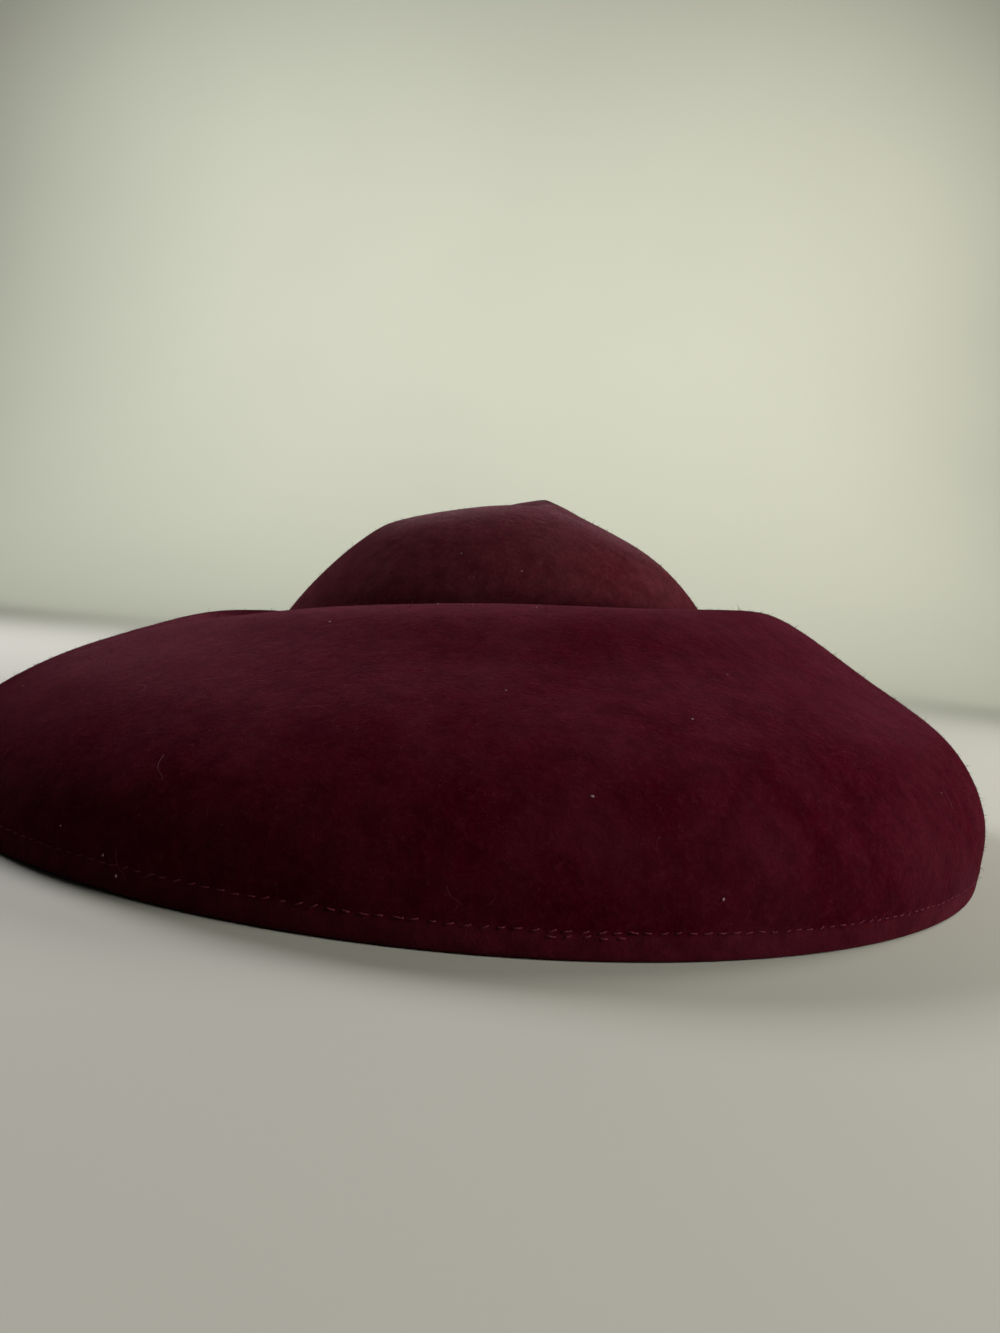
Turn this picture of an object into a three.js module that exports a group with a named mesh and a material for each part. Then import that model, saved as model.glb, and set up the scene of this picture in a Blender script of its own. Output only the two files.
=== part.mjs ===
import * as THREE from "three";

// A wide felt hat: a low crown with a dished tip, sewn over the collar of a downturned brim.
// Millimetres, +Z up, the wearer's front towards -Y. The brim's turned edge stands on z = 0.

// Felt and how its pieces meet
const FELT = 2.2; // thickness of the blocked felt
const SEAM_GAP = 0.3; // between the crown and the collar it is sewn over
const COLLAR_HEIGHT = 9; // brim felt turned up inside the crown
const HEM_DEPTH = 9; // brim felt turned under along the edge
const EDGE_ROUND = 1; // rounding on both sides of the turned edge

// Crown, measured outside and square to its headline
const CROWN_LENGTH = 196;
const CROWN_WIDTH = 169;
const CROWN_HEIGHT = 56;
const CROWN_LEAN = 6; // degrees, forwards
const CROWN_BACK = 4; // how far its middle lies behind the brim's
const HEADLINE_HEIGHT = 74; // its middle above the surface
const PINCH_RISE = 5; // a soft point pinched up at the back of the lip
const PINCH_SPREAD = 8;
const PINCH_BACK = 24; // behind the crown's middle
const PINCH_RIGHT = 10; // towards the wearer's right

// Brim, measured at its turned edge
const BRIM_LENGTH = 423;
const BRIM_WIDTH = 460;

// The roll that rises round the crown, above the headline
const CREST_FRONT = 1.5;
const CREST_SIDE = 7;
const CREST_BACK = 4.5;

// How finely the felt is faceted
const SLICES = 60;
const CROWN_STATIONS = 14;
const COLLAR_STATIONS = 2;
const BRIM_STATIONS = 16;
const HEM_STATIONS = 2;
const MEASURING_STEPS = 400; // along a meridian whose length is measured
const SLOPE_STEP = 1e-3; // in share and in angle, for a surface's slope

// Crown rings from the headline up, as shares of its half length, its half width and its height
const CROWN_RINGS = [
  { name: "headline", front: 1.0, side: 1.0, back: 1.0, upFront: 0.0, upBack: 0.0 },
  { name: "wall", front: 0.958, side: 0.976, back: 0.981, upFront: 0.11, upBack: 0.11 },
  { name: "haunch", front: 0.812, side: 0.828, back: 0.782, upFront: 0.395, upBack: 0.51 },
  { name: "shoulder", front: 0.639, side: 0.592, back: 0.423, upFront: 0.66, upBack: 0.893 },
  { name: "lip", front: 0.476, side: 0.3, back: 0.295, upFront: 0.832, upBack: 0.99 },
  { name: "dish", front: 0.31, side: 0.14, back: 0.12, upFront: 0.8, upBack: 0.89 },
  { name: "tip", front: 0.09, side: 0.0, back: -0.09, upFront: 0.815, upBack: 0.815 },
];

// Brim rings from the edge up, as shares of the way from the seam to the edge and of the crest's height
const BRIM_RINGS = [
  { name: "edge", front: 1.0, side: 1.0, back: 1.0, upFront: 0.0, upSide: 0.0, upBack: 0.0 },
  { name: "wall", front: 0.943, side: 0.985, back: 1.002, upFront: 0.306, upSide: 0.28, upBack: 0.268 },
  { name: "turn", front: 0.754, side: 0.842, back: 0.905, upFront: 0.6, upSide: 0.531, upBack: 0.504 },
  { name: "slope", front: 0.446, side: 0.523, back: 0.626, upFront: 0.872, upSide: 0.78, upBack: 0.75 },
  { name: "shoulder", front: 0.266, side: 0.308, back: 0.24, upFront: 0.985, upSide: 0.96, upBack: 1.025 },
  { name: "crest", front: 0.052, side: 0.112, back: 0.127, upFront: 1.0, upSide: 1.0, upBack: 1.0 },
];

const mix = THREE.MathUtils.lerp;
const crownFrame = new THREE.Matrix4()
  .makeTranslation(0, CROWN_BACK, HEADLINE_HEIGHT)
  .multiply(new THREE.Matrix4().makeRotationX(THREE.MathUtils.degToRad(CROWN_LEAN)));

// A point of an oval ring that may reach and rise differently at the front, the sides and the back.
// The angle starts at the front and runs by the wearer's left.
function ovalPoint(reach, height, angle) {
  const ahead = Math.cos(angle);
  const halfLength = (reach.front + reach.back) / 2;
  const forward = (reach.front - reach.back) / 2;
  const middleHeight = (height.front + height.back) / 2;
  const lean = ((height.front - height.back) / 2) * ahead;
  const sag = (middleHeight - height.side) * ahead * ahead;
  return new THREE.Vector3(
    reach.side * Math.sin(angle),
    -(forward + halfLength * ahead),
    height.side + sag + lean,
  );
}

// The outside of the crown along one meridian, headline (0) to tip (1), square to the headline
function crownMeridian(angle) {
  const points = CROWN_RINGS.map((ring) => {
    const reach = {
      front: (ring.front * CROWN_LENGTH) / 2,
      side: (ring.side * CROWN_WIDTH) / 2,
      back: (ring.back * CROWN_LENGTH) / 2,
    };
    const height = { front: ring.upFront * CROWN_HEIGHT, back: ring.upBack * CROWN_HEIGHT };
    height.side = (height.front + height.back) / 2;
    return ovalPoint(reach, height, angle);
  });
  const curve = new THREE.CatmullRomCurve3(points);
  return (t) => {
    const point = curve.getPoint(t);
    const away = Math.hypot(point.x + PINCH_RIGHT, point.y - PINCH_BACK) / PINCH_SPREAD;
    point.z += PINCH_RISE * Math.exp(-away * away);
    return point;
  };
}

// The seam ring on the brim's upper face, just under the crown's lower edge
function seamPoint(angle) {
  const rim = { front: CROWN_LENGTH / 2, side: CROWN_WIDTH / 2, back: CROWN_LENGTH / 2 };
  const below = { front: -SEAM_GAP, side: -SEAM_GAP, back: -SEAM_GAP };
  return ovalPoint(rim, below, angle).applyMatrix4(crownFrame);
}

const seam = { front: seamPoint(0), side: seamPoint(Math.PI / 2), back: seamPoint(Math.PI) };

// The outside of the brim along one meridian, turned edge (0) to seam (1)
function brimMeridian(angle) {
  const points = BRIM_RINGS.map((ring) => {
    const reach = {
      front: mix(-seam.front.y, BRIM_LENGTH / 2, ring.front),
      side: mix(seam.side.x, BRIM_WIDTH / 2, ring.side),
      back: mix(seam.back.y, BRIM_LENGTH / 2, ring.back),
    };
    const height = {
      front: (seam.front.z + CREST_FRONT) * ring.upFront,
      side: (seam.side.z + CREST_SIDE) * ring.upSide,
      back: (seam.back.z + CREST_BACK) * ring.upBack,
    };
    return ovalPoint(reach, height, angle);
  });
  const curve = new THREE.CatmullRomCurve3([...points, seamPoint(angle)]);
  return (t) => curve.getPoint(t);
}

// Stations along one meridian of a surface, each with its outward normal
function strip(meridian, angle, shares) {
  const [before, here, after] = [-1, 0, 1].map((side) => meridian(angle + side * SLOPE_STEP));
  return shares.map((t) => {
    const around = after(t).sub(before(t));
    const along = here(Math.min(t + SLOPE_STEP, 1)).sub(here(Math.max(t - SLOPE_STEP, 0)));
    const normal = new THREE.Vector3().crossVectors(around, along).normalize();
    if (around.length() < SLOPE_STEP * SLOPE_STEP) normal.set(0, 0, 1);
    return { point: here(t), normal };
  });
}

function evenly(from, to, count) {
  return Array.from({ length: count + 1 }, (_, i) => mix(from, to, i / count));
}

// A strip's points moved to a depth below the outside
function inside(stations, depth) {
  return stations.map(({ point, normal }) => point.clone().addScaledVector(normal, -depth));
}

// Where a rising run of points, or its first stretch carried on below it, has the given height
function atHeight(points, height) {
  const found = points.findIndex((p) => p.z >= height);
  const i = Math.max(found, 1);
  const [low, high] = [points[i - 1], points[i]];
  return low.clone().lerp(high, (height - low.z) / (high.z - low.z));
}

// Rings of points, each a full turn or a single point, skinned in their order into one closed body
function skin(rings, closed) {
  const starts = [];
  const positions = [];
  for (const ring of rings) {
    starts.push(positions.length / 3);
    positions.push(...ring.flatMap((p) => [p.x, p.y, p.z]));
  }
  const at = (k, i) => starts[k] + (i % rings[k].length);
  const faces = [];
  const joins = closed ? rings.length : rings.length - 1;
  for (let k = 0; k < joins; k++) {
    const next = (k + 1) % rings.length;
    for (let i = 0; i < SLICES; i++) {
      const [a, b, c, d] = [at(k, i), at(k, i + 1), at(next, i + 1), at(next, i)];
      if (a !== b) faces.push(a, b, c);
      if (c !== d) faces.push(a, c, d);
    }
  }
  const geometry = new THREE.BufferGeometry();
  geometry.setAttribute("position", new THREE.Float32BufferAttribute(positions, 3));
  geometry.setIndex(faces);
  geometry.computeVertexNormals();
  return geometry;
}

// Turns a list of profiles, one for each slice, into the rings that run round the hat
function ringsOf(profiles) {
  return profiles[0].map((_, j) => profiles.map((profile) => profile[j]));
}

const angles = evenly(0, 2 * Math.PI, SLICES).slice(0, SLICES);

// Crown: one felt shell, open below, its lower edge cut flat along the headline
function crownGeometry() {
  const strips = angles.map((angle) => strip(crownMeridian, angle, evenly(0, 1, CROWN_STATIONS)));
  const profiles = strips.map((stations) => {
    const outer = inside(stations, 0);
    const inner = inside(stations, FELT);
    inner[0] = atHeight(inner, 0);
    return [...inner.toReversed(), ...outer];
  });
  const [innerTip, ...rings] = ringsOf(profiles);
  const outerTip = rings.pop();
  return skin([[innerTip[0]], ...rings, [outerTip[0]]], false).applyMatrix4(crownFrame);
}

// One slice of the collar, turned up inside the crown: its outer and inner face from the foot up
function collarFaces(angle) {
  const stations = strip(crownMeridian, angle, evenly(0, 1, CROWN_STATIONS));
  const outer = inside(stations, FELT + SEAM_GAP);
  const inner = inside(stations, 2 * FELT + SEAM_GAP);
  const face = (points, foot) =>
    evenly(foot, COLLAR_HEIGHT, COLLAR_STATIONS).map((z) => atHeight(points, z).applyMatrix4(crownFrame));
  return { outer: face(outer, -SEAM_GAP), inner: face(inner, -SEAM_GAP - FELT) };
}

// The share of a meridian at which a given length is reached from its start
function shareAtLength(meridian, length) {
  const shares = evenly(0, 1, MEASURING_STEPS);
  let left = length;
  const found = shares.findIndex((t, i) => {
    if (i > 0) left -= meridian(t).distanceTo(meridian(shares[i - 1]));
    return left <= 0;
  });
  return shares[found];
}

// Brim: turned edge, roll and collar in one felt, doubled where the edge is turned under
function brimGeometry() {
  const profiles = angles.map((angle) => {
    const hemEnd = shareAtLength(brimMeridian(angle), HEM_DEPTH);
    const hem = strip(brimMeridian, angle, evenly(0, hemEnd, HEM_STATIONS));
    const top = strip(brimMeridian, angle, evenly(hemEnd, 1, BRIM_STATIONS));
    const collar = collarFaces(angle);

    const hemOuter = inside(hem, 0);
    const hemInner = inside(hem, 2 * FELT);
    const [footOuter, footInner] = [atHeight(hemOuter, 0), atHeight(hemInner, 0)];
    const round = EDGE_ROUND / footOuter.distanceTo(footInner);
    hemOuter[0] = atHeight(hemOuter, EDGE_ROUND);
    hemInner[0] = atHeight(hemInner, EDGE_ROUND);

    return [
      footOuter.clone().lerp(footInner, round),
      ...hemOuter,
      ...inside(top, 0).slice(1),
      ...collar.outer,
      ...collar.inner.toReversed(),
      ...inside(top, FELT).toReversed(),
      ...hemInner.toReversed(),
      footOuter.clone().lerp(footInner, 1 - round),
    ];
  });
  return skin(ringsOf(profiles), true);
}

function feltPiece(name, geometry, colour) {
  const material = new THREE.MeshStandardMaterial({ color: colour, roughness: 0.95, metalness: 0 });
  const piece = new THREE.Mesh(geometry, material);
  piece.name = name;
  return piece;
}

const group = new THREE.Group();
group.add(feltPiece("crown", crownGeometry(), "#4e1820"));
group.add(feltPiece("brim", brimGeometry(), "#4a141e"));

export default group;
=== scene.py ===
import functools
import math
from collections import namedtuple

import bpy
import numpy as np
from mathutils import Matrix, Vector, noise


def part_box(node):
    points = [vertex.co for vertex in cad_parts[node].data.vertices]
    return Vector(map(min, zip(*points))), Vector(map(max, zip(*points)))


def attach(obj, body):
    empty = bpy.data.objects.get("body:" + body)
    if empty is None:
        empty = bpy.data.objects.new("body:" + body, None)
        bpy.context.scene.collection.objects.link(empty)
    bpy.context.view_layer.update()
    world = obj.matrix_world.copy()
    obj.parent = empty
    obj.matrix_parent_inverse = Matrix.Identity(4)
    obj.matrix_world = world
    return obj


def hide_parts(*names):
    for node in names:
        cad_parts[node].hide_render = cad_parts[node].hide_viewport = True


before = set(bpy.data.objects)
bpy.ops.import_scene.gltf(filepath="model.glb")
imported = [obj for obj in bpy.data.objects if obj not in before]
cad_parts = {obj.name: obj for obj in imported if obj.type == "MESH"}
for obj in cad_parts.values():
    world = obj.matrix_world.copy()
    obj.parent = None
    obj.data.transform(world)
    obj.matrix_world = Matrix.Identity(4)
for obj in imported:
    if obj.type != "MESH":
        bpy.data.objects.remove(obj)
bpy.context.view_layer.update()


# Crown. A felt hood, steamed and pulled over a block: low, leaning forwards, its tip dished and
# pinched to a soft point behind the middle. It is one layer of felt, cut off along the headline.
FELT = 0.0022
CROWN_LEAN = math.radians(6)
CROWN_HEIGHT = 0.056
PINCH_HEIGHT = 0.0598
PINCH_BACK = 0.0262
PINCH_RIGHT = 0.011
PINCH_ROUND = 0.003
PINCH_BLEND = 0.0016
PINCH_REACH = 0.036
PINCH_DROP = 0.010
FALL_AHEAD = 0.13
FALL_BEHIND = 0.48
FALL_ASIDE = 0.5
LIP_SINK = 0.0022
LIP_BEHIND = 0.006
LIP_LEFT = 0.020
LIP_LENGTH = 0.022
LIP_WIDTH = 0.014
# Painted shade in the groove between crown and brim: where it starts, its lean, how far up it fades and how
# dark it is
GROOVE_END = 0.0031
GROOVE_SIDE = 0.0040
GROOVE_LEAN = 0.0015
GROOVE_FADE = 0.0095
GROOVE_SHADE = 0.66
UNEVEN_BROAD, BROAD_SIZE = 0.00030, 0.055
UNEVEN_CLOSE, CLOSE_SIZE = 0.00007, 0.013
FOOT_BLEND = 0.008
STEAMED_FELT = FELT * 0.97
CUT_ROUND = 0.0004
CROWN_ROWS = 34
SLICES = 96

# Painted shade along the pinch's ridge: how dark, and where it fades in, as offsets from its peak
PINCH_SHADE = 0.55
PINCH_SHADE_ASIDE = (0.009, 0.001)
PINCH_SHADE_BEHIND = (-0.014, 0.002)
PINCH_SHADE_ABOVE = (-0.024, -0.004)

crown_low, crown_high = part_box("crown")
crown_side = (crown_high.x - crown_low.x) / 2
crown_end = (crown_high.y - crown_low.y) / 2 / math.cos(CROWN_LEAN)
headline = Vector((0, (crown_low.y + crown_high.y) / 2, crown_low.z + math.sin(CROWN_LEAN) * crown_end))
crown_frame = Matrix.Translation(headline) @ Matrix.Rotation(CROWN_LEAN, 4, "X")

# A ring's reach to the front, side and back and its height there, as shares of named sizes
Ring = namedtuple("Ring", "front side back up_front up_side up_back")
crown_rings = [
    Ring(front=1.000, side=1.000, back=1.000, up_front=0.000, up_side=0.0000, up_back=0.000),
    Ring(front=0.958, side=0.976, back=0.981, up_front=0.110, up_side=0.1100, up_back=0.110),
    Ring(front=0.812, side=0.828, back=0.782, up_front=0.395, up_side=0.4525, up_back=0.510),
    Ring(front=0.639, side=0.592, back=0.423, up_front=0.660, up_side=0.7765, up_back=0.893),
    Ring(front=0.476, side=0.300, back=0.295, up_front=0.832, up_side=0.9110, up_back=0.990),
    Ring(front=0.310, side=0.140, back=0.120, up_front=0.800, up_side=0.8450, up_back=0.890),
    Ring(front=0.090, side=0.000, back=-0.09, up_front=0.815, up_side=0.8150, up_back=0.815),
]


def oval_point(ring, angle):
    """A point of an oval ring in metres. The angle starts at the front and runs by the wearer's left."""
    ahead = math.cos(angle)
    lean = (ring.up_front - ring.up_back) / 2 * ahead
    sag = ((ring.up_front + ring.up_back) / 2 - ring.up_side) * ahead**2
    forward = (ring.front - ring.back) / 2 + (ring.front + ring.back) / 2 * ahead
    return Vector((ring.side * math.sin(angle), -forward, ring.up_side + sag + lean))


def smooth_through(points, share):
    """The point at a share of the way along a centripetal curve through the points."""
    place = min(share * (len(points) - 1), len(points) - 1 - 1e-9)
    i = int(place)
    w = place - i
    a, b = points[i], points[i + 1]
    before = points[i - 1] if i > 0 else 2 * a - b
    after = points[i + 2] if i + 2 < len(points) else 2 * b - a
    d0, d1, d2 = (math.sqrt((q - p).length) for p, q in ((before, a), (a, b), (b, after)))
    from_a = ((a - before) / d0 - (b - before) / (d0 + d1) + (b - a) / d1) * d1
    into_b = ((b - a) / d1 - (after - a) / (d1 + d2) + (after - b) / d2) * d1
    blend_a = (2 * w**3 - 3 * w**2 + 1) * a + (w**3 - 2 * w**2 + w) * from_a
    return blend_a + (3 * w**2 - 2 * w**3) * b + (w**3 - w**2) * into_b


@functools.cache
def crown_guides(angle):
    reach = (crown_end, crown_side, crown_end, CROWN_HEIGHT, CROWN_HEIGHT, CROWN_HEIGHT)
    return [oval_point(Ring(*(s * r for s, r in zip(ring, reach))), angle) for ring in crown_rings]


def crown_block(angle, share):
    """The crown's outside, headline (0) to tip (1), square to the headline."""
    point = smooth_through(crown_guides(angle), share)
    ahead = PINCH_BACK - point.y
    aside = math.hypot(point.x + PINCH_RIGHT, PINCH_ROUND) - PINCH_ROUND
    fall = FALL_AHEAD * max(ahead, 0) + FALL_BEHIND * max(-ahead, 0) + FALL_ASIDE * aside
    fall += PINCH_DROP * (math.hypot(ahead, aside) / PINCH_REACH) ** 4
    ridge = PINCH_HEIGHT - fall
    point.z = (point.z + ridge + math.hypot(point.z - ridge, PINCH_BLEND)) / 2
    lip_ahead, lip_aside = (ahead + LIP_BEHIND) / LIP_LENGTH, (point.x - LIP_LEFT) / LIP_WIDTH
    point.z -= LIP_SINK * math.exp(-(lip_ahead**2) - lip_aside**2)
    return point


def outward(block, angle, share):
    """The direction straight out of a block's surface."""
    step = 1e-3
    around = block(angle + step, share) - block(angle - step, share)
    upward = block(angle, min(share + step, 1)) - block(angle, max(share - step, 0))
    return around.cross(upward).normalized()


def start_hood(name, rows):
    """A plain tube of felt, its rows one unit apart, ready to be pulled over a block."""
    bpy.ops.object.select_all(action="DESELECT")
    bpy.ops.mesh.primitive_circle_add(vertices=SLICES, radius=1, fill_type="NOTHING")
    hood = bpy.context.object
    hood.name = hood.data.name = name
    bpy.ops.object.mode_set(mode="EDIT")
    bpy.ops.mesh.select_all(action="SELECT")
    for _ in range(rows - 1):
        bpy.ops.mesh.extrude_region_move(TRANSFORM_OT_translate={"value": (0, 0, 1)})
    bpy.ops.object.mode_set(mode="OBJECT")
    return hood


def settle(piece):
    """Lists the faces in one fixed order, since extruding leaves them in another one each run."""
    mesh = piece.data
    points = [tuple(vertex.co) for vertex in mesh.vertices]
    faces = []
    for face in mesh.polygons:
        corners = list(face.vertices)
        first = corners.index(min(corners))
        faces.append(corners[first:] + corners[:first])
    mesh.clear_geometry()
    mesh.from_pydata(points, [], sorted(faces))


def pull_over(hood, profile):
    """Moves each row of the tube to its place on the block, as profile(angle) lists the rows."""
    profiles = {}
    for vertex in hood.data.vertices:
        angle = round(math.atan2(vertex.co.x, -vertex.co.y), 6)
        if angle not in profiles:
            profiles[angle] = profile(angle)
        vertex.co = profiles[angle][round(vertex.co.z)]
    bpy.ops.object.mode_set(mode="EDIT")
    bpy.ops.mesh.select_all(action="SELECT")
    bpy.ops.mesh.remove_doubles(threshold=1e-6)
    bpy.ops.mesh.normals_make_consistent(inside=False)
    bpy.ops.object.mode_set(mode="OBJECT")
    settle(hood)


def apply(piece, kind, **settings):
    """Adds a modifier with these settings and applies it."""
    modifier = piece.modifiers.new(kind.title(), kind)
    for key, value in settings.items():
        setattr(modifier, key, value)
    bpy.context.view_layer.objects.active = piece
    bpy.ops.object.modifier_apply(modifier=modifier.name)


def finish_felt(hood):
    """Smooths the sheet, leaves it as uneven as hand blocking does, and gives it its thickness."""
    apply(hood, "SUBSURF", levels=1, render_levels=1)
    outs = [vertex.normal.copy() for vertex in hood.data.vertices]
    for vertex, out in zip(hood.data.vertices, outs):
        broad = noise.noise(vertex.co / BROAD_SIZE)
        close = noise.noise(vertex.co / CLOSE_SIZE + Vector((7, 0, 0)))
        clear = min(max((vertex.co.z - FELT) / FOOT_BLEND, 0), 1)
        vertex.co += out * (UNEVEN_BROAD * broad + UNEVEN_CLOSE * close) * clear
    apply(hood, "SOLIDIFY", thickness=STEAMED_FELT, offset=-1, use_even_offset=True)
    apply(hood, "BEVEL", width=CUT_ROUND, segments=2, limit_method="ANGLE", angle_limit=math.radians(55))
    bpy.ops.object.shade_smooth_by_angle(angle=math.radians(50))


def crown_profile(angle):
    return [crown_frame @ crown_block(angle, i / (CROWN_ROWS - 1)) for i in range(CROWN_ROWS)]


crown = start_hood("crown_felt", CROWN_ROWS)
pull_over(crown, crown_profile)
finish_felt(crown)


def new_material(name):
    """A new node material and its shader."""
    material = bpy.data.materials.new(name)
    material.use_nodes = True
    return material, material.node_tree.nodes["Principled BSDF"]


def new_group(name, inputs, outputs):
    """A shader node group with these (name, socket type, value) inputs and (name, type) outputs."""
    group = bpy.data.node_groups.new(name, "ShaderNodeTree")
    for label, kind, value in inputs:
        socket = group.interface.new_socket(label, in_out="INPUT", socket_type=kind)
        socket.default_value = value
    for label, kind in outputs:
        group.interface.new_socket(label, in_out="OUTPUT", socket_type=kind)
    return group, group.nodes.new("NodeGroupInput"), group.nodes.new("NodeGroupOutput")


def add(tree, kind, links=(), **settings):
    """A node with its settings, its inputs linked or set from (input, output or value) pairs."""
    node = tree.nodes.new(kind)
    for key, value in settings.items():
        setattr(node, key, value)
    for key, source in dict(links).items():
        if isinstance(source, bpy.types.NodeSocket):
            tree.links.new(source, node.inputs[key])
        else:
            node.inputs[key].default_value = source
    return node


def combine(tree, operation, *values):
    """The result of a math node on these outputs or numbers."""
    return add(tree, "ShaderNodeMath", dict(enumerate(values)), operation=operation).outputs["Value"]


def make_nap_group():
    """Felt's surface: cloudy tone of the brushed nap, pale wisps, painted light and painted shade as the
    inputs give them, and the relief of matted fibres.
    """
    group, given, result = new_group(
        "felt_nap",
        [("Colour", "NodeSocketColor", (0.1, 0.01, 0.02, 1)),
         ("Brushed", "NodeSocketColor", (0.1, 0.02, 0.03, 1)),
         ("Clouds", "NodeSocketFloat", 0.5), ("Wisps", "NodeSocketFloat", 0.3),
         ("Painted Light", "NodeSocketFloat", 0.0), ("Shade", "NodeSocketFloat", 1.0)],
        [("Colour", "NodeSocketColor"), ("Roughness", "NodeSocketFloat"), ("Relief", "NodeSocketFloat")],
    )
    place = add(group, "ShaderNodeTexCoord").outputs["Object"]

    def cloth_noise(scale, detail, roughness=0.6, distortion=0.0):
        return add(group, "ShaderNodeTexNoise", {
            "Vector": place, "Scale": scale, "Detail": detail, "Roughness": roughness,
            "Distortion": distortion}).outputs["Fac"]

    def between(value, low, high, start=0.0, stop=1.0):
        return add(group, "ShaderNodeMapRange", {"Value": value, "From Min": low, "From Max": high,
                                                 "To Min": start, "To Max": stop}).outputs["Result"]

    def mix(share, low, high, kind="MIX"):
        return add(group, "ShaderNodeMixRGB", {"Fac": share, "Color1": low, "Color2": high},
                   blend_type=kind).outputs["Color"]

    clouds = cloth_noise(34.0, 4.0, 0.62)
    blots = cloth_noise(150.0, 3.0)
    mats = cloth_noise(520.0, 4.0, 0.7, 0.6)
    hairs = cloth_noise(2300.0, 2.0, 0.6, 1.6)
    threads = combine(group, "ABSOLUTE", combine(group, "SUBTRACT", cloth_noise(260.0, 2.0, 0.5, 1.8), 0.5))
    patches = cloth_noise(330.0, 2.0)
    wisps = combine(group, "MULTIPLY", between(threads, 0.003, 0.016, 0.5, 0.0), between(patches, 0.46, 0.66))
    pale = mix(0.35, given.outputs["Brushed"], (0.20, 0.05, 0.07, 1))
    brushed = mix(combine(group, "MULTIPLY", between(clouds, 0.36, 0.66), given.outputs["Clouds"]),
                  given.outputs["Colour"], given.outputs["Brushed"])
    flecked = mix(combine(group, "MULTIPLY", between(mats, 0.50, 0.72), given.outputs["Wisps"]),
                  brushed, given.outputs["Brushed"])
    wispy = mix(combine(group, "MULTIPLY", wisps, given.outputs["Wisps"]), flecked, pale)
    # Painted light: the colour is mixed towards the paler brushed tone by the amount given
    painted_light = mix(given.outputs["Painted Light"], wispy, given.outputs["Brushed"])
    mottled = mix(1.0, painted_light, between(blots, 0.32, 0.62, 0.74, 1.06), "MULTIPLY")
    # Painted shade: the colour is multiplied by the Shade input
    colour = mix(1.0, mottled, given.outputs["Shade"], "MULTIPLY")
    lumps = combine(group, "MULTIPLY_ADD", mats, 0.9, combine(group, "MULTIPLY", blots, 1.1))
    relief = combine(group, "MULTIPLY_ADD", hairs, 0.40, lumps)
    group.links.new(colour, result.inputs["Colour"])
    group.links.new(between(blots, 0.3, 0.7, 0.86, 1.0), result.inputs["Roughness"])
    group.links.new(relief, result.inputs["Relief"])
    return group


nap_group = make_nap_group()


def felt_material(name, colour, brushed, clouds, sheen, tint):
    """Wine felt: deep, matt and saturated head on, with the pale bloom of a nap seen edge on."""
    material, shader = new_material(name)
    tree = material.node_tree
    nap = add(tree, "ShaderNodeGroup", node_tree=nap_group)
    nap.name = "nap"
    nap.inputs["Colour"].default_value = (*colour, 1)
    nap.inputs["Brushed"].default_value = (*brushed, 1)
    nap.inputs["Clouds"].default_value = clouds
    nap.inputs["Wisps"].default_value = 0.55
    bump = add(tree, "ShaderNodeBump",
               {"Strength": 0.7, "Distance": 0.0005, "Height": nap.outputs["Relief"]})
    tree.links.new(nap.outputs["Colour"], shader.inputs["Base Color"])
    tree.links.new(nap.outputs["Roughness"], shader.inputs["Roughness"])
    tree.links.new(bump.outputs["Normal"], shader.inputs["Normal"])
    shader.inputs["Specular IOR Level"].default_value = 0.0
    shader.inputs["Sheen Weight"].default_value = sheen
    shader.inputs["Sheen Roughness"].default_value = 0.25
    shader.inputs["Sheen Tint"].default_value = (*tint, 1)
    return material


# Painted light: crown and brim are one felt, but the crown's colours and sheen are set paler than the brim's
# for the light it catches
crown_felt = felt_material("crown felt", (0.067, 0.0089, 0.0134), (0.103, 0.0275, 0.0342), 0.38, 0.22,
                           (0.90, 0.60, 0.70))


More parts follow.
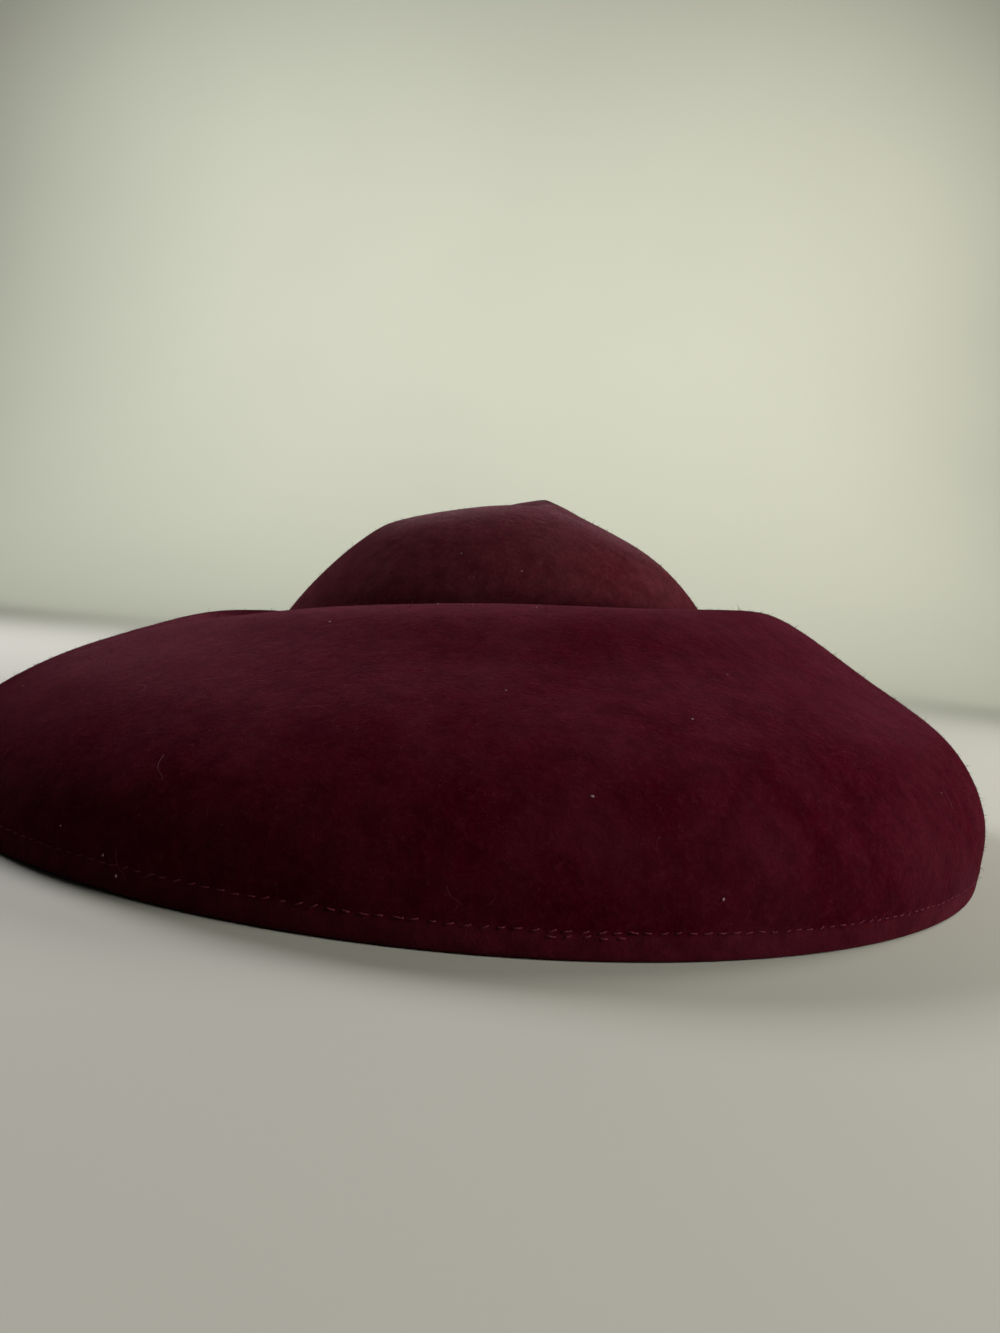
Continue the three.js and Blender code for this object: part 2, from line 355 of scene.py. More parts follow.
def shade_felt(material):
    """Paints shade into the felt's colour down in the groove, deepest at the sides, and along the ridge of
    the pinch.
    """
    tree = material.node_tree
    # Painted shade in the groove: darkest just above the brim's roll and at the sides, fading upwards
    place = add(tree, "ShaderNodeTexCoord").outputs["Object"]
    up = crown_frame.to_3x3() @ Vector((0, 0, 1)) - Vector((0, GROOVE_LEAN / crown_end, 0))
    seam = headline.dot(up)
    height = add(tree, "ShaderNodeVectorMath", {0: place, 1: up}, operation="DOT_PRODUCT").outputs["Value"]
    across = add(tree, "ShaderNodeSeparateXYZ", {0: place}).outputs["X"]
    aside = combine(tree, "MULTIPLY", across, across)
    deep = combine(tree, "MULTIPLY_ADD", aside, -GROOVE_SIDE / crown_side**2, height)
    out = add(tree, "ShaderNodeMapRange", {"Value": deep, "From Min": seam + GROOVE_END,
                                           "From Max": seam + GROOVE_END + GROOVE_FADE}).outputs["Result"]
    dark = combine(tree, "SUBTRACT", 1.0, combine(tree, "POWER", out, 0.5))
    beside = combine(tree, "MULTIPLY", aside, -GROOVE_SHADE / crown_side**2)
    groove = combine(tree, "MULTIPLY_ADD", beside, dark, 1.0)

    # Painted shade along the ridge of the pinch, fading out from its peak
    peak = crown_frame @ Vector((-PINCH_RIGHT, PINCH_BACK, PINCH_HEIGHT))
    from_peak = add(tree, "ShaderNodeVectorMath", {0: place, 1: peak}, operation="SUBTRACT").outputs["Vector"]
    off = add(tree, "ShaderNodeSeparateXYZ", {0: from_peak}).outputs
    shaded_ridge = 1.0
    for distance, fade in ((combine(tree, "ABSOLUTE", off["X"]), PINCH_SHADE_ASIDE),
                           (off["Y"], PINCH_SHADE_BEHIND), (off["Z"], PINCH_SHADE_ABOVE)):
        near = add(tree, "ShaderNodeMapRange", {"Value": distance, "From Min": fade[0], "From Max": fade[1]},
                   interpolation_type="SMOOTHSTEP").outputs["Result"]
        shaded_ridge = combine(tree, "MULTIPLY", shaded_ridge, near)
    pinch = combine(tree, "MULTIPLY_ADD", shaded_ridge, -PINCH_SHADE, 1.0)
    shade = combine(tree, "MULTIPLY", groove, pinch)
    tree.links.new(shade, tree.nodes["nap"].inputs["Shade"])


shade_felt(crown_felt)
crown.data.materials.append(crown_felt)
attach(crown, "root")
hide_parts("crown")


# Brim. A second felt body, blocked into a soft roll round the crown and a long curve that turns
# down to nearly upright. Its inner edge stands up as a collar inside the crown; its outer edge
# is turned under, pressed, and machine stitched.
SEAM_GAP = 0.0003
COLLAR_SHARES = (0.20, 0.155, 0.11, 0.065, 0.03)
CREST_FRONT = 0.0015
CREST_SIDE = 0.0070
CREST_BACK = 0.0045
HEM_DEPTH = 0.009
STITCH_UP = 0.0072
STITCH_PRESS = 0.00018
HEM_PUFF = 0.00010
STITCH_DIP = 0.0009
# Painted light below the hem's stitch line: where it fades in above and below the line, and how far it pales
# the felt
PAINTED_LIGHT_ABOVE = 0.0004
PAINTED_LIGHT_BELOW = 0.0012
PAINTED_LIGHT_SHARE = 0.45
FOLD_ROWS = 8
FOLD_HIGHEST = 0.012
FOLD_SQUARENESS = 0.62
TOP_ROWS = 34
EDGE_ROWS = (0.0042, 0.0054, 0.0063, 0.0072, 0.0081, 0.0090, 0.0102, 0.0122, 0.0150, 0.0190)
UNDER_ROWS = (0.0045, 0.0062, 0.0078, HEM_DEPTH + 0.001)

# Waves of the roll: degrees from the front by the wearer's left, half width in degrees, and rise
ROLL_WAVES = ((-13, 26, 0.0031), (33, 15, -0.0025), (118, 26, -0.0016))
WAVE_START = 0.48
WAVE_ROUND = 1.3

brim_low, brim_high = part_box("brim")
brim_end, brim_side = (brim_high.y - brim_low.y) / 2, (brim_high.x - brim_low.x) / 2

# Rings from the turned edge up, as shares of the way from seam to edge and of the crest's height
brim_rings = [
    Ring(front=1.000, side=1.000, back=1.000, up_front=0.000, up_side=0.000, up_back=0.000),
    Ring(front=0.943, side=0.985, back=1.002, up_front=0.310, up_side=0.280, up_back=0.270),
    Ring(front=0.754, side=0.842, back=0.905, up_front=0.610, up_side=0.531, up_back=0.514),
    Ring(front=0.446, side=0.523, back=0.626, up_front=0.886, up_side=0.780, up_back=0.763),
    Ring(front=0.266, side=0.308, back=0.240, up_front=0.992, up_side=0.960, up_back=1.028),
    Ring(front=0.046, side=0.068, back=0.078, up_front=1.000, up_side=1.000, up_back=1.000),
]


def seam_point(angle):
    """Where the brim's upper face meets the crown's lower edge."""
    rim = Ring(crown_end, crown_side, crown_end, -SEAM_GAP, -SEAM_GAP, -SEAM_GAP)
    return crown_frame @ oval_point(rim, angle)


seam_front, seam_side, seam_back = (seam_point(turn * math.pi) for turn in (0, 0.5, 1))


@functools.cache
def brim_guides(angle):
    guides = []
    for ring in brim_rings:
        reach = Ring(
            front=-seam_front.y + (brim_end + seam_front.y) * ring.front,
            side=seam_side.x + (brim_side - seam_side.x) * ring.side,
            back=seam_back.y + (brim_end - seam_back.y) * ring.back,
            up_front=(seam_front.z + CREST_FRONT) * ring.up_front,
            up_side=(seam_side.z + CREST_SIDE) * ring.up_side,
            up_back=(seam_back.z + CREST_BACK) * ring.up_back,
        )
        guides.append(oval_point(reach, angle))
    return [*guides, seam_point(angle)]


def brim_block(angle, share):
    """The brim's outside, turned edge (0) to seam (1). Its roll waves a little up and down."""
    point = smooth_through(brim_guides(angle), float(share))
    if share > WAVE_START:
        swell = math.sin(math.pi * (share - WAVE_START) / (1 - WAVE_START)) ** WAVE_ROUND
        for centre, width, rise in ROLL_WAVES:
            away = (angle - math.radians(centre) + math.pi) % (2 * math.pi) - math.pi
            point.z += rise * swell * math.exp(-((away / math.radians(width)) ** 2))
    return point


MEASURED_SHARES = np.linspace(0, 1, 61)


@functools.cache
def brim_lengths(angle):
    """How far up the felt from the edge each measured share lies."""
    points = np.array([brim_block(angle, share) for share in MEASURED_SHARES])
    return np.concatenate([[0], np.cumsum(np.linalg.norm(np.diff(points, axis=0), axis=1))])


def brim_share(angle, distance):
    return float(np.interp(distance, brim_lengths(angle), MEASURED_SHARES))


def on_brim(angle, distance, depth=0.0):
    """A point at a distance up the felt from the edge, at a depth below the outside."""
    share = brim_share(angle, distance)
    return brim_block(angle, share) - depth * outward(brim_block, angle, share)


def fold_start(angle):
    """How far up the fold begins, so that its round lies on the surface below."""
    low, high = 0.0, FOLD_HIGHEST
    for _ in range(24):
        middle = (low + high) / 2
        low, high = (middle, high) if on_brim(angle, middle, FELT).z < FELT else (low, middle)
    return high


def pressed(value):
    """Squares off the round of the fold, as the press does."""
    return math.copysign(abs(value) ** FOLD_SQUARENESS, value)


def brim_profile(angle):
    """The rows of the brim's sheet: collar, roll, slope, stitched hem, fold and turned-under felt."""
    rows = []
    for share in COLLAR_SHARES:
        inset = (FELT + SEAM_GAP * 2) * outward(crown_block, angle, share)
        rows.append(crown_frame @ (crown_block(angle, share) - inset))
    length = brim_lengths(angle)[-1]
    for i in range(TOP_ROWS):
        rows.append(on_brim(angle, length + (EDGE_ROWS[-1] - length) * i / (TOP_ROWS - 1)))
    for distance in reversed(EDGE_ROWS[:-1]):
        groove = STITCH_PRESS * math.exp(-(((distance - STITCH_UP) / STITCH_DIP) ** 2))
        puff = HEM_PUFF * math.sin(math.pi * min(distance / HEM_DEPTH, 1))
        rows.append(on_brim(angle, distance, groove - puff))
    start = fold_start(angle)
    out = outward(brim_block, angle, brim_share(angle, start))
    centre = on_brim(angle, start, FELT)
    down = (on_brim(angle, start) - on_brim(angle, start + 0.001)).normalized()
    for i in range(FOLD_ROWS):
        turn = math.pi * i / (FOLD_ROWS - 1)
        rows.append(centre + FELT * (pressed(math.cos(turn)) * out + pressed(math.sin(turn)) * down))
    for distance in UNDER_ROWS:
        rows.append(on_brim(angle, distance, 2 * FELT))
    return rows


brim = start_hood("brim_felt", len(brim_profile(0.0)))
pull_over(brim, brim_profile)
finish_felt(brim)
brim_felt = felt_material("brim felt", (0.042, 0.0014, 0.0056), (0.072, 0.0105, 0.0178), 0.45, 0.12,
                          (0.97, 0.36, 0.51))
brim_tree = brim_felt.node_tree
brim_place = add(brim_tree, "ShaderNodeTexCoord").outputs["Object"]
level = add(brim_tree, "ShaderNodeSeparateXYZ", {0: brim_place}).outputs["Z"]
# Painted light: the felt below the stitch line, where the hem turns down, is made paler as if lit
painted_light = add(brim_tree, "ShaderNodeMapRange", {"Value": level, "From Min": STITCH_UP + PAINTED_LIGHT_ABOVE,
                                             "From Max": STITCH_UP - PAINTED_LIGHT_BELOW, "To Max": PAINTED_LIGHT_SHARE})
brim_tree.links.new(painted_light.outputs["Result"], brim_tree.nodes["nap"].inputs["Painted Light"])
brim.data.materials.append(brim_felt)
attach(brim, "root")
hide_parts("brim")


# Hem stitches. One row of lock stitches in wine thread holds the turned-under felt, and runs over
# its own start on the wearer's left. Each is a short arch of thread that dives into the felt at
# both ends, a little uneven along the row. The same stitches show on the felt inside.
THREAD = 0.00042
THREAD_SINK = 0.00005
STITCH_PITCH = 0.0038
STITCH_LENGTH = 0.0025
PITCH_ERROR = 0.04
SLANT_ERROR = 0.16
SIDE_ERROR = 0.00009
OVERLAP_DROP = 0.0012
OVERLAP_TURNS = (math.radians(97.3), math.radians(102.8))
LINE_STEPS = 361

# Each fifth of a stitch's arch: its rise in thread thicknesses, and how the thread swells
STITCH_ARCH = ((0.55, 1.6), (0.15, 1.05), (0.0, 1.0), (-0.15, 0.95), (-0.55, 0.62))


def model_stitch(name, length, thick):
    """One arch of thread along X, lying on Z = 0 and diving below it at both ends."""
    bpy.ops.object.select_all(action="DESELECT")
    bpy.ops.mesh.primitive_circle_add(vertices=6, radius=thick * 0.3, fill_type="NGON",
                                      location=(-length / 2, 0, -thick * 0.5), rotation=(0, math.pi / 2, 0))
    stitch = bpy.context.object
    stitch.name = name
    bpy.ops.object.transform_apply(location=True, rotation=True, scale=True)
    bpy.ops.object.mode_set(mode="EDIT")
    bpy.ops.mesh.select_all(action="SELECT")
    for rise, grow in STITCH_ARCH:
        bpy.ops.mesh.extrude_region_move(TRANSFORM_OT_translate={"value": (length / 5, 0, thick * rise)})
        bpy.ops.transform.resize(value=(1, grow, grow))
    bpy.ops.mesh.select_all(action="SELECT")
    bpy.ops.mesh.normals_make_consistent(inside=False)
    bpy.ops.object.mode_set(mode="OBJECT")
    return stitch


def sow(name, model, places):
    """Joins a copy of the model at each place, a 4 x 4 matrix, into one mesh and removes the model."""
    settle(model)
    corners = np.array([[*v.co, 1] for v in model.data.vertices])
    faces = [list(p.vertices) for p in model.data.polygons]
    placed = np.einsum("nij,vj->nvi", np.array(places), corners)[..., :3].reshape(-1, 3)
    mesh = bpy.data.meshes.new(name)
    starts = range(0, len(places) * len(corners), len(corners))
    mesh.from_pydata(placed.tolist(), [], [[i + start for i in face] for start in starts for face in faces])
    piece = bpy.data.objects.new(name, mesh)
    bpy.context.collection.objects.link(piece)
    bpy.data.objects.remove(model)
    mesh.shade_smooth()
    return piece


def seat(point, along, out, stretch=(1, 1, 1)):
    """A place at the point whose X runs along and whose Z stands out of the surface."""
    z = out.normalized()
    y = z.cross(along).normalized()
    x = y.cross(z)
    turn = Matrix((x * stretch[0], y * stretch[1], z * stretch[2])).transposed().to_4x4()
    return Matrix.Translation(point) @ turn


def stitch_row(place, start, stop, pitch, seed, slant=0.1, wander=0.00025):
    """Places for stitches a pitch apart along place(angle), which gives a point and the way out there."""
    dice = np.random.default_rng(seed)
    line = [place(turn) for turn in np.linspace(start, stop, LINE_STEPS)]
    points = np.array([point for point, out in line])
    outs = np.array([out for point, out in line])
    travelled = np.concatenate([[0], np.cumsum(np.linalg.norm(np.diff(points, axis=0), axis=1))])
    count = round(travelled[-1] / pitch)
    seats = []
    for i in range(count):
        here = travelled[-1] * (i + dice.normal(0, PITCH_ERROR)) / count
        at = [Vector([np.interp(here + ahead, travelled, values[:, k]) for k in range(3)])
              for ahead, values in ((0, points), (pitch / 2, points), (-pitch / 2, points), (0, outs))]
        out = at[3].normalized()
        along = Matrix.Rotation(dice.normal(slant, SLANT_ERROR), 3, out) @ (at[1] - at[2])
        drift = wander * noise.noise(at[0] / 0.03) + dice.normal(0, SIDE_ERROR)
        point = at[0] + out.cross(along).normalized() * drift
        seats.append(seat(point, along, out, (dice.uniform(0.66, 1.08), 1, dice.uniform(0.6, 1.2))))
    return seats


def hem_line(distance, depth):
    """A line at a distance up the hem and at a depth below its outside."""
    def place(turn):
        out = outward(brim_block, turn, brim_share(turn, distance))
        return on_brim(turn, distance, depth), out if depth < FELT else -out
    return place


outside = stitch_row(hem_line(STITCH_UP, STITCH_PRESS * 0.6), 0, 2 * math.pi, STITCH_PITCH, 21)
overlap = stitch_row(hem_line(STITCH_UP - OVERLAP_DROP, THREAD_SINK), *OVERLAP_TURNS, STITCH_PITCH, 22)
inside = stitch_row(hem_line(STITCH_UP, 2 * FELT - THREAD_SINK), 0, 2 * math.pi, STITCH_PITCH, 23)
hem_stitches = sow("hem_stitches", model_stitch("stitch", STITCH_LENGTH, THREAD), outside + overlap + inside)


def thread_material(name, colour):
    """Twisted cotton thread, matt, with two plies that show as slanting bands."""
    material, shader = new_material(name)
    tree = material.node_tree
    place = add(tree, "ShaderNodeTexCoord").outputs["Object"]
    plies = add(tree, "ShaderNodeTexWave",
                {"Vector": place, "Scale": 900.0, "Distortion": 2.0, "Detail": 1.0},
                wave_type="BANDS", bands_direction="DIAGONAL")
    dark = [c * 0.7 for c in colour]
    shade = add(tree, "ShaderNodeMixRGB",
                {"Fac": plies.outputs["Fac"], "Color1": (*dark, 1), "Color2": (*colour, 1)})
    bump = add(tree, "ShaderNodeBump", {"Strength": 0.4, "Distance": 0.0001, "Height": plies.outputs["Fac"]})
    tree.links.new(shade.outputs["Color"], shader.inputs["Base Color"])
    tree.links.new(bump.outputs["Normal"], shader.inputs["Normal"])
    shader.inputs["Roughness"].default_value = 0.9
    shader.inputs["Specular IOR Level"].default_value = 0.03
    return material


wine_thread = thread_material("wine thread", (0.130, 0.0240, 0.0420))
hem_stitches.data.materials.append(wine_thread)
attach(hem_stitches, "root")


# Seam stitches. The crown is sewn to the brim's collar by hand: long slanting stitches show on the
# collar inside, and small pricks in the groove outside.
SEAM_PITCH = 0.0062
SEAM_STITCH = 0.0046
SEAM_SHARE = 0.075
PRICK = 0.0012
PRICK_SHARE = 0.045


def collar_line(turn):
    """A point on the collar's inside, just above the seam, and the way out of the felt there."""
    depth = 2 * FELT + SEAM_GAP * 2 - THREAD_SINK
    out = outward(crown_block, turn, SEAM_SHARE)
    return crown_frame @ (crown_block(turn, SEAM_SHARE) - depth * out), -(crown_frame.to_3x3() @ out)


def groove_line(turn):
    """A point on the crown's outside, low in the groove, and the way out of the felt there."""
    out = outward(crown_block, turn, PRICK_SHARE)
    return crown_frame @ crown_block(turn, PRICK_SHARE), crown_frame.to_3x3() @ out


collar_row = stitch_row(collar_line, 0, 2 * math.pi, SEAM_PITCH, 31, slant=0.6, wander=0.0004)
groove_row = stitch_row(groove_line, 0, 2 * math.pi, SEAM_PITCH, 32, slant=0.3, wander=0.0003)
collar_stitches = sow("collar_stitches", model_stitch("long_stitch", SEAM_STITCH, THREAD), collar_row)
groove_stitches = sow("groove_stitches", model_stitch("prick", PRICK, THREAD * 0.9), groove_row)
for piece, slot in ((collar_stitches, "brim_felt"), (groove_stitches, "crown_felt")):
    piece.data.materials.append(wine_thread)
    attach(piece, "root")


# Nap. Short fibres of the brushed felt stand off its surface and soften the outline; among them
# a few longer strays curl away. The lowest millimetres, which lie on the table, are bare.
NAP_LENGTH = 0.0009
NAP_THICK = 0.00013
NAP_STEPS = ((0.55, 0.6, 1.0),)
NAP_COUNT = 13000
NAP_CLUMP = 0.0022
CLUMPING = 1.8
THINNEST = 0.25
STRAY_LENGTH = 0.0017
STRAY_THICK = 0.00008
STRAY_STEPS = ((0.15, 0.35, 0.9), (0.25, 0.15, 0.8), (0.30, -0.02, 0.3))
STRAY_COUNT = 2400
BRIM_TO_CROWN = 3.4
BARE_FOOT = 2 * STRAY_LENGTH


def model_fibre(name, length, thick, steps):
    """One closed fibre from the origin that leans towards X, in (ahead, rise, grow) steps."""
    bpy.ops.object.select_all(action="DESELECT")
    bpy.ops.mesh.primitive_circle_add(vertices=3, radius=thick / 2, fill_type="NGON")
    fibre = bpy.context.object
    fibre.name = name
    bpy.ops.object.mode_set(mode="EDIT")
    bpy.ops.mesh.select_all(action="SELECT")
    for ahead, rise, grow in steps:
        bpy.ops.mesh.extrude_region_move(TRANSFORM_OT_translate={"value": (length * ahead, 0, length * rise)})
        bpy.ops.transform.resize(value=(grow, grow, grow))
    bpy.ops.mesh.merge(type="CENTER")
    bpy.ops.mesh.select_all(action="SELECT")
    bpy.ops.mesh.normals_make_consistent(inside=False)
    bpy.ops.object.mode_set(mode="OBJECT")
    return fibre


def scatter(felt, count, seed):
    """Random points of a felt piece, each with the direction out of the felt."""
    dice = np.random.default_rng(seed)
    mesh = felt.data
    mesh.calc_loop_triangles()
    places = np.empty(len(mesh.vertices) * 3)
    mesh.vertices.foreach_get("co", places)
    triangles = np.empty(len(mesh.loop_triangles) * 3, dtype=np.int32)
    mesh.loop_triangles.foreach_get("vertices", triangles)
    corners = places.reshape(-1, 3)[triangles.reshape(-1, 3)]
    normals = np.cross(corners[:, 1] - corners[:, 0], corners[:, 2] - corners[:, 0])
    areas = np.linalg.norm(normals, axis=1)
    chosen = dice.choice(len(areas), count, p=areas / areas.sum())
    a, b = dice.random(count), dice.random(count)
    fold = a + b > 1
    a[fold], b[fold] = 1 - a[fold], 1 - b[fold]
    tri = corners[chosen]
    points = tri[:, 0] + a[:, None] * (tri[:, 1] - tri[:, 0]) + b[:, None] * (tri[:, 2] - tri[:, 0])
    return points, normals[chosen] / areas[chosen][:, None], dice


def grow_nap(name, felt, model, count, seed):
    """Fibres like the model all over a felt piece, in every direction, longer in some clumps."""
    points, outs, dice = scatter(felt, count, seed)
    places = []
    for point, out in zip(points, outs):
        if point[2] < BARE_FOOT:
            continue
        size = dice.uniform(0.5, 1.2) * max(1 + CLUMPING * noise.noise(Vector(point) / NAP_CLUMP), THINNEST)
        stretch = (size * dice.uniform(0.5, 1.5), 1, size * dice.uniform(0.5, 1.3))
        places.append(seat(Vector(point), Vector(dice.normal(size=3)), Vector(out), stretch))
    nap = sow(name, model, places)
    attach(nap, "root")
    return nap


def fibre_material(name, colour):
    """Single fibres, lighter than the mass because light comes through them, each a little different."""
    material, shader = new_material(name)
    tree = material.node_tree
    place = add(tree, "ShaderNodeTexCoord").outputs["Object"]
    lot = add(tree, "ShaderNodeTexNoise", {"Vector": place, "Scale": 420.0, "Detail": 1.0})
    dark, light = [c * 0.6 for c in colour], [c * 1.5 for c in colour]
    shade = add(tree, "ShaderNodeMixRGB",
                {"Fac": lot.outputs["Fac"], "Color1": (*dark, 1), "Color2": (*light, 1)})
    tree.links.new(shade.outputs["Color"], shader.inputs["Base Color"])
    shader.inputs["Roughness"].default_value = 0.8
    shader.inputs["Specular IOR Level"].default_value = 0.1
    return material


nap_material = fibre_material("loose nap", (0.070, 0.0060, 0.0125))
for felt, slot, amount in ((crown, "crown_felt", 1.0), (brim, "brim_felt", BRIM_TO_CROWN)):
    short = model_fibre("fibre", NAP_LENGTH, NAP_THICK, NAP_STEPS)
    long = model_fibre("stray", STRAY_LENGTH, STRAY_THICK, STRAY_STEPS)
    layer = felt.name.split("_")[0]
    for kind, model, count, seed in (("nap", short, NAP_COUNT, 5), ("strays", long, STRAY_COUNT, 8)):
        nap = grow_nap(f"{layer}_{kind}", felt, model, round(count * amount), seed)
        nap.data.materials.append(nap_material)


# Lint. Specks of pale fluff and a few fine hairs that cling to the nap, as they do on the real hat.
# Those on the hat's left lie where they do on the real one; the rest are scattered.
SPECK = 0.0006
HAIR_LENGTH = 0.011
HAIR_THICK = 0.00010
HAIR_CURL = (0, 0.06, 0.12, 0.18, 0.22, 0.20, 0.10, -0.04, -0.14, -0.10)
LINT_LIFT = 0.00018
FAR_SIDE = (125, 415)


def model_speck(name):
    """A rough flat crumb of fluff."""
    bpy.ops.object.select_all(action="DESELECT")
    bpy.ops.mesh.primitive_ico_sphere_add(subdivisions=2, radius=SPECK / 2)
    speck = bpy.context.object
    speck.name = name
    bpy.ops.object.mode_set(mode="EDIT")
    bpy.ops.mesh.select_all(action="SELECT")
    bpy.ops.transform.vertex_random(offset=SPECK * 0.16, seed=4)
    bpy.ops.transform.resize(value=(1, 0.7, 0.45))
    bpy.ops.object.mode_set(mode="OBJECT")
    return speck


def model_hair(name, turns):
    """A fine hair that starts along X and curls in the plane by these turns, one for each step."""
    bpy.ops.object.select_all(action="DESELECT")
    bpy.ops.mesh.primitive_circle_add(vertices=4, radius=HAIR_THICK / 2, fill_type="NGON",
                                      rotation=(0, math.pi / 2, 0))
    hair = bpy.context.object
    hair.name = name
    bpy.ops.object.transform_apply(location=True, rotation=True, scale=True)
    bpy.ops.object.mode_set(mode="EDIT")
    bpy.ops.mesh.select_all(action="SELECT")
    heading = 0
    for turn in turns:
        heading += turn
        step = Vector((math.cos(heading), math.sin(heading), 0)) * HAIR_LENGTH / len(turns)
        bpy.ops.mesh.extrude_region_move(TRANSFORM_OT_translate={"value": step})
        bpy.ops.transform.resize(value=(0.96, 0.96, 0.96))
    bpy.ops.mesh.select_all(action="SELECT")
    bpy.ops.mesh.normals_make_consistent(inside=False)
    bpy.ops.object.mode_set(mode="OBJECT")
    return hair


def on_felt(degrees, millimetres, heading, size):
    """A seat on the brim's outside: an angle, a distance up from the edge, a heading and a size."""
    turn, distance = math.radians(degrees), millimetres / 1000
    out = outward(brim_block, turn, brim_share(turn, distance))
    along = on_brim(turn + 0.01, distance) - on_brim(turn - 0.01, distance)
    along = Matrix.Rotation(math.radians(heading), 3, out) @ along
    return seat(on_brim(turn, distance, -LINT_LIFT), along, out, (size, size, size))


def on_crown(degrees, share, size):
    """A seat on the crown's outside: an angle, a share of the way up and a size."""
    turn = math.radians(degrees)
    out = crown_frame.to_3x3() @ outward(crown_block, turn, share)
    point = crown_frame @ crown_block(turn, share) + out * 0.0001
    return seat(point, Vector((0, 1, 0)), out, (size, size, size))


# Lint on the hat's left, as (degrees, millimetres up from the edge, heading, size)
seen_specks = [on_felt(*spot) for spot in (
    (107, 73, 20, 1.3), (108, 15.6, 70, 1.4), (98, 40, 0, 1.5), (69, 5, 90, 1.5), (67.5, 9, 80, 1.1),
    (90, 84, 30, 0.9), (68, 122, 60, 1.0), (82, 154, 90, 1.1), (63, 13, 0, 0.9), (116, 101, 45, 0.8),
    (88.5, 151, 0, 0.8), (99, 150, 40, 0.8))]
seen_specks += [on_crown(99, 0.285, 1.2), on_crown(83.5, 0.355, 1.0), on_crown(86, 0.27, 0.6)]
seen_hairs = [on_felt(*spot) for spot in (
    (58, 59, 130, 0.8), (67.5, 37, -80, 0.9), (68.5, 11, -85, 0.7), (71, 6, 20, 0.5), (90.4, 15.5, -75, 0.5),
    (93, 12, 30, 0.4), (110, 11, 60, 0.4), (76, 64, 160, 0.5), (103, 30, -140, 0.4), (62, 70, 20, 0.4),
    (65, 44, 170, 0.35), (72, 47, -60, 0.3), (60, 25, 80, 0.3), (74, 22, 60, 0.35), (79, 34, -20, 0.3),
    (84, 50, 110, 0.3), (64, 84, -30, 0.35), (113, 40, 70, 0.3), (121, 88, 10, 0.35), (99, 96, 150, 0.3))]
dice = np.random.default_rng(40)
far_specks, far_hairs = (
    [on_felt(dice.uniform(*FAR_SIDE), dice.uniform(*up), dice.uniform(0, 360), dice.uniform(*size))
     for _ in range(count)]
    for count, up, size in ((46, (6, 150), (0.5, 1.1)), (16, (12, 140), (0.4, 1.0))))
lint_specks = sow("lint_specks", model_speck("speck"), seen_specks + far_specks)
lint_hairs = sow("lint_hairs", model_hair("hair", HAIR_CURL), seen_hairs + far_hairs)
lint = fibre_material("pale lint", (0.30, 0.20, 0.22))
hair_tone = fibre_material("pale hair", (0.15, 0.075, 0.10))
for piece, material in ((lint_specks, lint), (lint_hairs, hair_tone)):
    piece.data.materials.append(material)
    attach(piece, "root")


# Floor. A pale sweep of matt paper that lies under the hat and rises behind it in one soft curve,
# slightly uneven in tone.
SWEEP_SIZE = 6
SWEEP_PLACE = (-1.0, 0, 0)
SWEEP_RISE = 4
SWEEP_ROUND = 2.0


def make_sweep():
    """The sheet of paper: a plane whose far edge is drawn up, with the corner rounded."""
    bpy.ops.object.select_all(action="DESELECT")
    bpy.ops.mesh.primitive_plane_add(size=SWEEP_SIZE, location=SWEEP_PLACE)
    sweep = bpy.context.object
    sweep.name = "paper_sweep"
    bpy.ops.object.transform_apply(location=True, rotation=True, scale=True)
    far = min(v.co.x for v in sweep.data.vertices)
    for edge in sweep.data.edges:
        edge.select = all(sweep.data.vertices[i].co.x == far for i in edge.vertices)
    for vertex in sweep.data.vertices:
        vertex.select = vertex.co.x == far
    for face in sweep.data.polygons:
        face.select = False
    bpy.ops.object.mode_set(mode="EDIT")
    bpy.ops.mesh.extrude_region_move(TRANSFORM_OT_translate={"value": (0, 0, SWEEP_RISE)})
    bpy.ops.object.mode_set(mode="OBJECT")
    apply(sweep, "BEVEL", width=SWEEP_ROUND, segments=40, limit_method="ANGLE")
    bpy.ops.object.shade_smooth()
    return sweep


sweep = make_sweep()
paper, paper_shader = new_material("pale paper")
paper_tree = paper.node_tree
paper_place = add(paper_tree, "ShaderNodeTexCoord").outputs["Object"]
grain = add(paper_tree, "ShaderNodeTexNoise", {"Vector": paper_place, "Scale": 1.2, "Detail": 2.0})
tone = add(paper_tree, "ShaderNodeMixRGB", {"Fac": grain.outputs["Fac"], "Color1": (0.385, 0.39, 0.34, 1),
                                            "Color2": (0.415, 0.42, 0.365, 1)})
paper_tree.links.new(tone.outputs["Color"], paper_shader.inputs["Base Color"])
paper_shader.inputs["Roughness"].default_value = 0.9
sweep.data.materials.append(paper)


# Light. Two soft windows on the right, a broad fill from behind on the left, and two lights that
# wash the paper behind, in a room that looks pale but gives little light of its own.
ROOM_GLOW = 0.02
ROOM_SEEN = 0.62


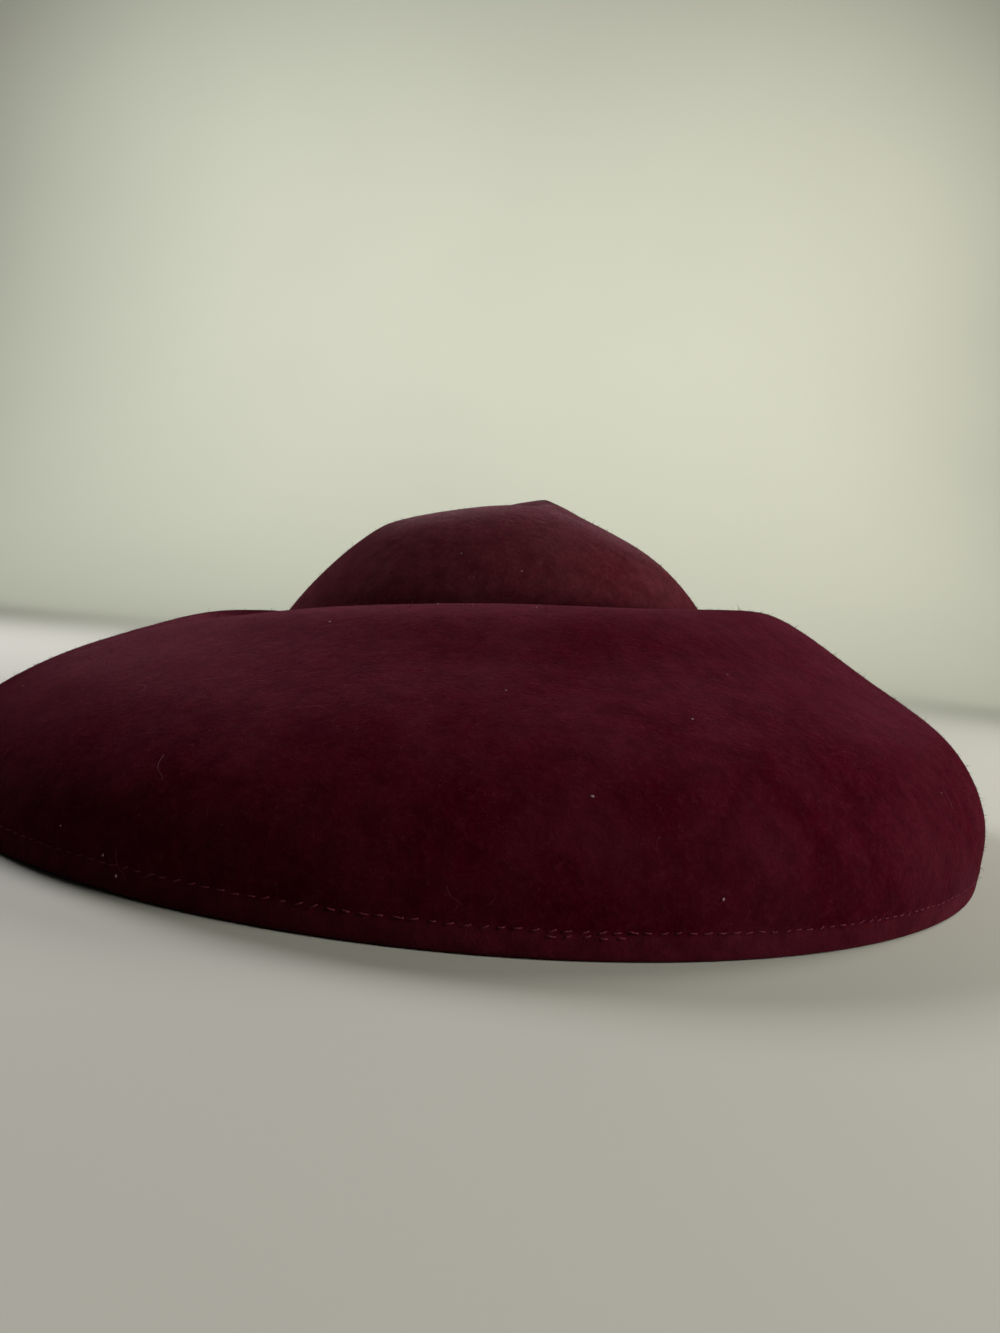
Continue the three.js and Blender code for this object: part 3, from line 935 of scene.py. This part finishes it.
def add_light(name, place, aim, size, power, colour, spread=180):
    """A round soft light at a place, turned to its aim; the spread is in degrees."""
    bpy.ops.object.light_add(type="AREA", location=place)
    light = bpy.context.object
    light.name = name
    light.rotation_euler = (Vector(aim) - Vector(place)).to_track_quat("-Z", "Y").to_euler()
    light.data.shape = "DISK"
    light.data.size = size
    light.data.energy = power
    light.data.color = colour
    light.data.spread = math.radians(spread)


add_light("window", (0.5, 1.1, 0.6), (0, 0, 0.06), 0.5, 14, (1.0, 0.96, 0.90))
add_light("back_window", (-0.5, 1.1, 0.8), (0, 0, 0.06), 0.5, 9, (1.0, 0.97, 0.92))
add_light("far_fill", (-0.6, -0.8, 0.9), (0, 0, 0.06), 0.5, 16, (0.88, 0.84, 0.90))
add_light("wall_wash_right", (-1.2, 2.2, 2.4), (-4, 0.3, 1.3), 1.6, 68, (1.0, 0.985, 0.90), 130)
add_light("wall_wash_left", (-1.2, -2.2, 2.4), (-4, -0.3, 1.3), 1.6, 64, (0.97, 0.985, 0.93), 130)
world = bpy.data.worlds.new("room")
world.use_nodes = True
room = world.node_tree.nodes["Background"]
room.inputs["Color"].default_value = (0.80, 0.84, 0.78, 1)
seen = add(world.node_tree, "ShaderNodeLightPath").outputs["Is Camera Ray"]
glow = combine(world.node_tree, "MULTIPLY_ADD", seen, ROOM_SEEN, ROOM_GLOW)
world.node_tree.links.new(glow, room.inputs["Strength"])
bpy.context.scene.world = world
bpy.context.scene.view_settings.view_transform = "Standard"


# Camera. Close to the hat's left side, just below its crown, tipped and rolled a few degrees, with
# the wide lens of a phone.
CAMERA_PLACE = (0.4221, 0.0102, 0.0730)
CAMERA_PITCH = math.radians(2.57)
CAMERA_ROLL = math.radians(5.95)
bpy.ops.object.camera_add(location=CAMERA_PLACE)
camera = bpy.context.object
turn = Matrix.Rotation(math.pi / 2, 3, "Z") @ Matrix.Rotation(math.pi / 2 - CAMERA_PITCH, 3, "X")
camera.rotation_euler = (turn @ Matrix.Rotation(CAMERA_ROLL, 3, "Z")).to_euler()
camera.data.lens = 24
camera.data.sensor_width = 36
camera.data.clip_start = 0.01
bpy.context.scene.camera = camera
